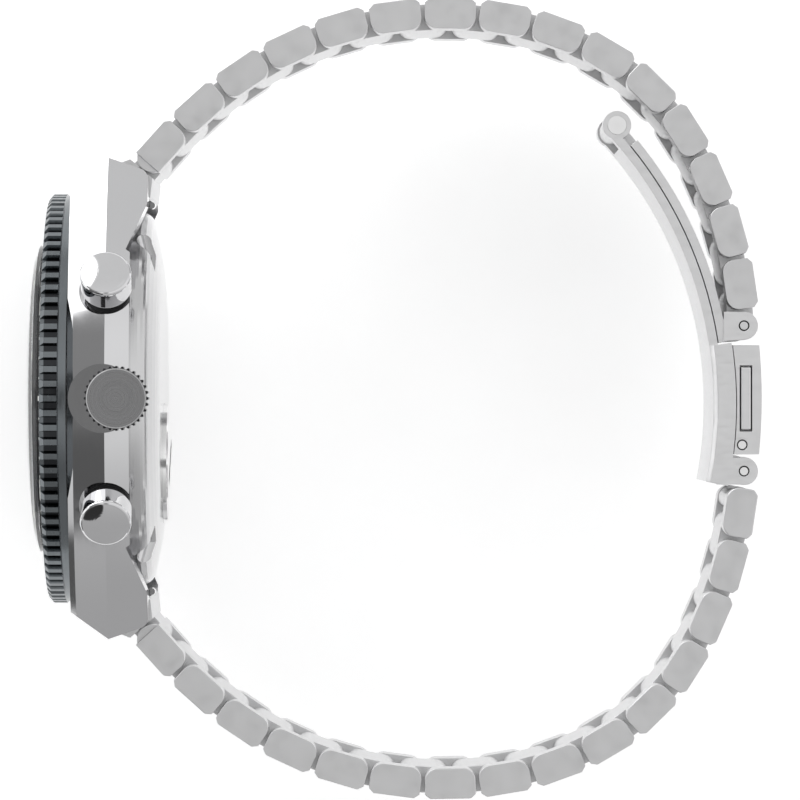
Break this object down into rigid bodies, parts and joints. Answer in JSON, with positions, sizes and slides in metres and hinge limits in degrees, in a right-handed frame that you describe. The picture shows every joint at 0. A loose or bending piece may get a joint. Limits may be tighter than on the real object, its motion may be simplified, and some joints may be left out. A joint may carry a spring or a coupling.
{
  "type": "analogue dive chronograph wristwatch",
  "caption": "Steel dive-style chronograph wristwatch with a toothed turning bezel, crown, two pushers, hinged link bracelet and fold-over push-button clasp.",
  "frame": {"origin": "centre of the caseback's flat, on the dial axis", "axes": "+X out of the caseback into the wrist, so the dial faces -X; +Y to 12 o'clock; +Z to 3 o'clock, along the crown and parallel to every bracelet hinge"},
  "size_m": [0.0715, 0.0772, 0.044],
  "materials": {
    "steel_polished": "polished stainless steel",
    "steel_satin": "satin brushed stainless steel",
    "steel_case": "fine brushed and polished stainless steel",
    "bezel_steel": "dark grey plated steel, satin",
    "bezel_insert": "gloss dark blue insert with a pale scale",
    "crystal": "clear mineral glass",
    "dial": "dark sunburst dial",
    "chapter": "dark satin ring",
    "markers": "pale luminous markers",
    "hands": "polished hands with pale inlay",
    "chrono_hand": "orange lacquer",
    "movement": "plated brass movement",
    "battery": "steel button cell",
    "seal": "black rubber"
  },
  "bodies": {
    "case": {"case_middle": "steel_case", "end_links": "steel_satin", "spring_bars": "steel_polished", "case_tubes": "steel_polished", "seals": "seal", "crystal": "crystal", "chapter_ring": "chapter", "dial": "dial", "hour_markers": "markers", "movement": "movement", "battery": "battery", "caseback": "steel_polished", "battery_hatch": "steel_polished"},
    "bezel": {"bezel_ring": "bezel_steel", "bezel_insert": "bezel_insert"},
    "crown_slide": {"crown_stem": "steel_polished"},
    "crown_turn": {"crown": "steel_polished"},
    "pusher_start": {"pusher_start": "steel_polished"},
    "pusher_reset": {"pusher_reset": "steel_polished"},
    "hour_hand": {"hour_hand": "hands"},
    "minute_hand": {"minute_hand": "hands"},
    "chrono_hand": {"chrono_hand": "chrono_hand"},
    "seconds_hand": {"seconds_hand": "hands"},
    "counter_hand": {"counter_hand": "hands"},
    "link_12_1": {"link_12_1": "steel_satin"},
    "link_12_2": {"link_12_2": "steel_satin"},
    "link_12_3": {"link_12_3": "steel_satin"},
    "link_12_4": {"link_12_4": "steel_satin"},
    "link_12_5": {"link_12_5": "steel_satin"},
    "link_12_6": {"link_12_6": "steel_satin"},
    "link_12_7": {"link_12_7": "steel_satin"},
    "link_12_8": {"link_12_8": "steel_satin"},
    "link_12_9": {"link_12_9": "steel_satin"},
    "link_12_10": {"link_12_10": "steel_satin"},
    "link_12_11": {"link_12_11": "steel_satin"},
    "link_12_12": {"link_12_12": "steel_satin"},
    "link_12_13": {"link_12_13": "steel_satin"},
    "link_12_14": {"link_12_14": "steel_satin"},
    "link_12_15": {"link_12_15": "steel_satin"},
    "link_6_1": {"link_6_1": "steel_satin"},
    "link_6_2": {"link_6_2": "steel_satin"},
    "link_6_3": {"link_6_3": "steel_satin"},
    "link_6_4": {"link_6_4": "steel_satin"},
    "link_6_5": {"link_6_5": "steel_satin"},
    "link_6_6": {"link_6_6": "steel_satin"},
    "link_6_7": {"link_6_7": "steel_satin"},
    "link_6_8": {"link_6_8": "steel_satin"},
    "link_6_9": {"link_6_9": "steel_satin"},
    "link_6_10": {"link_6_10": "steel_satin"},
    "link_6_11": {"link_6_11": "steel_satin"},
    "link_6_12": {"link_6_12": "steel_satin"},
    "link_6_13": {"link_6_13": "steel_satin"},
    "link_6_14": {"link_6_14": "steel_satin"},
    "link_6_15": {"link_6_15": "steel_satin"},
    "blade": {"clasp_blade": "steel_satin"},
    "base": {"clasp_base": "steel_satin", "clasp_pins": "steel_polished", "clasp_cover": "steel_satin"},
    "button_crown_side": {"clasp_button_crown_side": "steel_polished"},
    "button_far_side": {"clasp_button_far_side": "steel_polished"}
  },
  "joints": [
    {"name": "bezel_turn", "type": "hinge", "parent": "case", "child": "bezel", "pos_m": [0, 0, 0], "axis": [1, 0, 0], "continuous": true},
    {"name": "crown_pull", "type": "slide", "parent": "case", "child": "crown_slide", "axis": [0, 0, 1], "range_m": [0, 0.001]},
    {"name": "crown_turn", "type": "hinge", "parent": "crown_slide", "child": "crown_turn", "pos_m": [-0.0036, 0, 0.024], "axis": [0, 0, 1], "continuous": true},
    {"name": "pusher_start_press", "type": "slide", "parent": "case", "child": "pusher_start", "axis": [0, -0.5, -0.866], "range_m": [0, 0.001], "stiffness_N_per_m": 3000, "springref_m": -0.0005},
    {"name": "pusher_reset_press", "type": "slide", "parent": "case", "child": "pusher_reset", "axis": [0, 0.5, -0.866], "range_m": [0, 0.001], "stiffness_N_per_m": 3000, "springref_m": -0.0005},
    {"name": "minute_hand_turn", "type": "hinge", "parent": "case", "child": "minute_hand", "pos_m": [-0.0085, 0, 0], "axis": [1, 0, 0], "continuous": true},
    {"name": "hour_hand_turn", "type": "hinge", "parent": "case", "child": "hour_hand", "pos_m": [-0.0085, 0, 0], "axis": [1, 0, 0], "continuous": true},
    {"name": "chrono_hand_turn", "type": "hinge", "parent": "case", "child": "chrono_hand", "pos_m": [-0.0085, 0, 0], "axis": [1, 0, 0], "continuous": true},
    {"name": "seconds_hand_turn", "type": "hinge", "parent": "case", "child": "seconds_hand", "pos_m": [-0.0085, -0.0069, 0], "axis": [1, 0, 0], "continuous": true},
    {"name": "counter_hand_turn", "type": "hinge", "parent": "case", "child": "counter_hand", "pos_m": [-0.0085, 0, -0.0069], "axis": [1, 0, 0], "continuous": true},
    {"name": "link_12_1_hinge", "type": "hinge", "parent": "case", "child": "link_12_1", "pos_m": [-0.00081, 0.02326, 0], "axis": [0, 0, 1], "range_deg": [0, 10]},
    {"name": "link_12_2_hinge", "type": "hinge", "parent": "link_12_1", "child": "link_12_2", "pos_m": [0.00283, 0.0271, 0], "axis": [0, 0, 1], "range_deg": [0, 6]},
    {"name": "link_12_3_hinge", "type": "hinge", "parent": "link_12_2", "child": "link_12_3", "pos_m": [0.00688, 0.03049, 0], "axis": [0, 0, 1], "range_deg": [0, 8]},
    {"name": "link_12_4_hinge", "type": "hinge", "parent": "link_12_3", "child": "link_12_4", "pos_m": [0.01137, 0.03327, 0], "axis": [0, 0, 1], "range_deg": [0, 9]},
    {"name": "link_12_5_hinge", "type": "hinge", "parent": "link_12_4", "child": "link_12_5", "pos_m": [0.01623, 0.03532, 0], "axis": [0, 0, 1], "range_deg": [0, 8.5]},
    {"name": "link_12_6_hinge", "type": "hinge", "parent": "link_12_5", "child": "link_12_6", "pos_m": [0.02134, 0.03662, 0], "axis": [0, 0, 1], "range_deg": [0, 9]},
    {"name": "link_12_7_hinge", "type": "hinge", "parent": "link_12_6", "child": "link_12_7", "pos_m": [0.0266, 0.03711, 0], "axis": [0, 0, 1], "range_deg": [0, 8.5]},
    {"name": "link_12_8_hinge", "type": "hinge", "parent": "link_12_7", "child": "link_12_8", "pos_m": [0.03187, 0.03683, 0], "axis": [0, 0, 1], "range_deg": [0, 8.5]},
    {"name": "link_12_9_hinge", "type": "hinge", "parent": "link_12_8", "child": "link_12_9", "pos_m": [0.03703, 0.03572, 0], "axis": [0, 0, 1], "range_deg": [0, 10.5]},
    {"name": "link_12_10_hinge", "type": "hinge", "parent": "link_12_9", "child": "link_12_10", "pos_m": [0.04189, 0.03369, 0], "axis": [0, 0, 1], "range_deg": [0, 10.5]},
    {"name": "link_12_11_hinge", "type": "hinge", "parent": "link_12_10", "child": "link_12_11", "pos_m": [0.04626, 0.03075, 0], "axis": [0, 0, 1], "range_deg": [0, 14]},
    {"name": "link_12_12_hinge", "type": "hinge", "parent": "link_12_11", "child": "link_12_12", "pos_m": [0.0498, 0.02685, 0], "axis": [0, 0, 1], "range_deg": [0, 13]},
    {"name": "link_12_13_hinge", "type": "hinge", "parent": "link_12_12", "child": "link_12_13", "pos_m": [0.05246, 0.0223, 0], "axis": [0, 0, 1], "range_deg": [0, 9]},
    {"name": "link_12_14_hinge", "type": "hinge", "parent": "link_12_13", "child": "link_12_14", "pos_m": [0.05439, 0.01738, 0], "axis": [0, 0, 1], "range_deg": [0, 8]},
    {"name": "link_12_15_hinge", "type": "hinge", "parent": "link_12_14", "child": "link_12_15", "pos_m": [0.05565, 0.01225, 0], "axis": [0, 0, 1], "range_deg": [0, 7]},
    {"name": "link_6_1_hinge", "type": "hinge", "parent": "case", "child": "link_6_1", "pos_m": [-0.00081, -0.02326, 0], "axis": [0, 0, -1], "range_deg": [0, 10]},
    {"name": "link_6_2_hinge", "type": "hinge", "parent": "link_6_1", "child": "link_6_2", "pos_m": [0.00283, -0.0271, 0], "axis": [0, 0, -1], "range_deg": [0, 6]},
    {"name": "link_6_3_hinge", "type": "hinge", "parent": "link_6_2", "child": "link_6_3", "pos_m": [0.00688, -0.03049, 0], "axis": [0, 0, -1], "range_deg": [0, 8]},
    {"name": "link_6_4_hinge", "type": "hinge", "parent": "link_6_3", "child": "link_6_4", "pos_m": [0.01137, -0.03327, 0], "axis": [0, 0, -1], "range_deg": [0, 9]},
    {"name": "link_6_5_hinge", "type": "hinge", "parent": "link_6_4", "child": "link_6_5", "pos_m": [0.01623, -0.03532, 0], "axis": [0, 0, -1], "range_deg": [0, 8.5]},
    {"name": "link_6_6_hinge", "type": "hinge", "parent": "link_6_5", "child": "link_6_6", "pos_m": [0.02134, -0.03662, 0], "axis": [0, 0, -1], "range_deg": [0, 9]},
    {"name": "link_6_7_hinge", "type": "hinge", "parent": "link_6_6", "child": "link_6_7", "pos_m": [0.0266, -0.03711, 0], "axis": [0, 0, -1], "range_deg": [0, 8.5]},
    {"name": "link_6_8_hinge", "type": "hinge", "parent": "link_6_7", "child": "link_6_8", "pos_m": [0.03187, -0.03683, 0], "axis": [0, 0, -1], "range_deg": [0, 8.5]},
    {"name": "link_6_9_hinge", "type": "hinge", "parent": "link_6_8", "child": "link_6_9", "pos_m": [0.03703, -0.03572, 0], "axis": [0, 0, -1], "range_deg": [0, 10.5]},
    {"name": "link_6_10_hinge", "type": "hinge", "parent": "link_6_9", "child": "link_6_10", "pos_m": [0.04189, -0.03369, 0], "axis": [0, 0, -1], "range_deg": [0, 10.5]},
    {"name": "link_6_11_hinge", "type": "hinge", "parent": "link_6_10", "child": "link_6_11", "pos_m": [0.04626, -0.03075, 0], "axis": [0, 0, -1], "range_deg": [0, 14]},
    {"name": "link_6_12_hinge", "type": "hinge", "parent": "link_6_11", "child": "link_6_12", "pos_m": [0.0498, -0.02685, 0], "axis": [0, 0, -1], "range_deg": [0, 13]},
    {"name": "link_6_13_hinge", "type": "hinge", "parent": "link_6_12", "child": "link_6_13", "pos_m": [0.05246, -0.0223, 0], "axis": [0, 0, -1], "range_deg": [0, 9]},
    {"name": "link_6_14_hinge", "type": "hinge", "parent": "link_6_13", "child": "link_6_14", "pos_m": [0.05439, -0.01738, 0], "axis": [0, 0, -1], "range_deg": [0, 8]},
    {"name": "link_6_15_hinge", "type": "hinge", "parent": "link_6_14", "child": "link_6_15", "pos_m": [0.05565, -0.01225, 0], "axis": [0, 0, -1], "range_deg": [0, 7]},
    {"name": "clasp_swing", "type": "hinge", "parent": "link_12_15", "child": "blade", "pos_m": [0.05623, 0.00701, 0], "axis": [0, 0, 1], "range_deg": [0, 7]},
    {"name": "clasp_fold", "type": "hinge", "parent": "blade", "child": "base", "pos_m": [0.04401, 0.02636, 0], "axis": [0, 0, -1], "range_deg": [0, 100]},
    {"name": "button_crown_side_press", "type": "slide", "parent": "base", "child": "button_crown_side", "axis": [0, 0, -1], "range_m": [0, 0.0006], "stiffness_N_per_m": 1500, "springref_m": -0.0005},
    {"name": "button_far_side_press", "type": "slide", "parent": "base", "child": "button_far_side", "axis": [0, 0, 1], "range_m": [0, 0.0006], "stiffness_N_per_m": 1500, "springref_m": -0.0005}
  ],
  "couplings": [
    {"joint": "hour_hand_turn", "follows": "minute_hand_turn", "ratio": 0.083333},
    {"joint": "counter_hand_turn", "follows": "chrono_hand_turn", "ratio": 0.016667}
  ]
}
